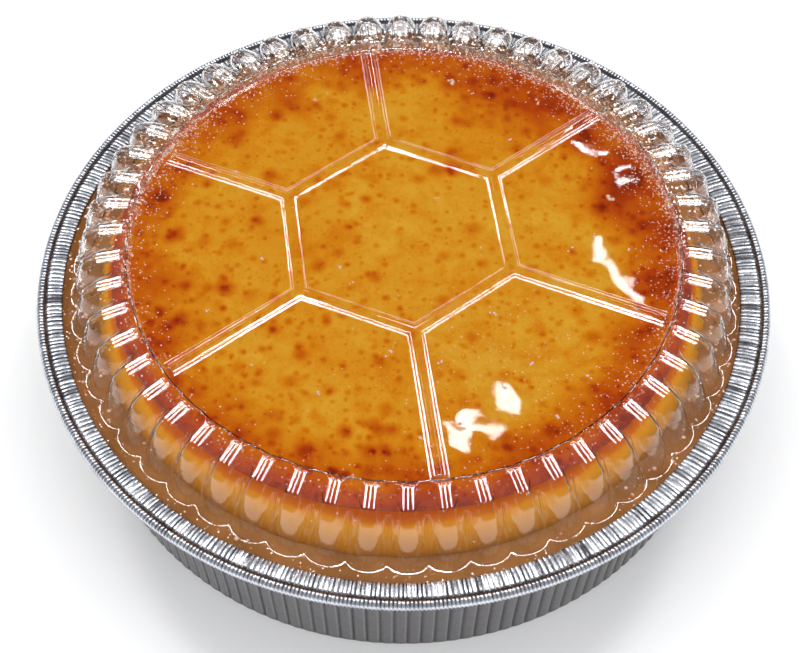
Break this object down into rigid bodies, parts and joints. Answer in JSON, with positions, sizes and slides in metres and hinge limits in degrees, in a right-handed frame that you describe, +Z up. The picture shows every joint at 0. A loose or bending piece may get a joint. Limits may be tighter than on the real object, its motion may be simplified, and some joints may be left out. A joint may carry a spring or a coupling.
{
  "type": "leche flan in a foil pan with a clear lid",
  "caption": "Round caramel custard in a pleated foil pan with a rolled rim, shut under a clear fluted lid with an embossed star.",
  "frame": {"origin": "centre of the pan's flat underside, where it stands on the table", "axes": "+Z up along the axis of the pan and the lid; -Y towards the front, from which the picture was taken"},
  "size_m": [0.234, 0.234, 0.0707],
  "materials": {
    "foil": "bright thin foil, pleated and knurled at the rim",
    "egg_custard": "moist set egg custard, golden",
    "burnt_caramel": "glossy amber caramel, darker towards its edge, with small bubbles",
    "caramel_syrup": "dark wet syrup",
    "clear_plastic": "clear thin plastic, glossy"
  },
  "bodies": {
    "root": {"foil_pan": "foil", "custard": "egg_custard", "caramel": "burnt_caramel", "syrup": "caramel_syrup", "clear_lid": "clear_plastic"}
  },
  "joints": []
}
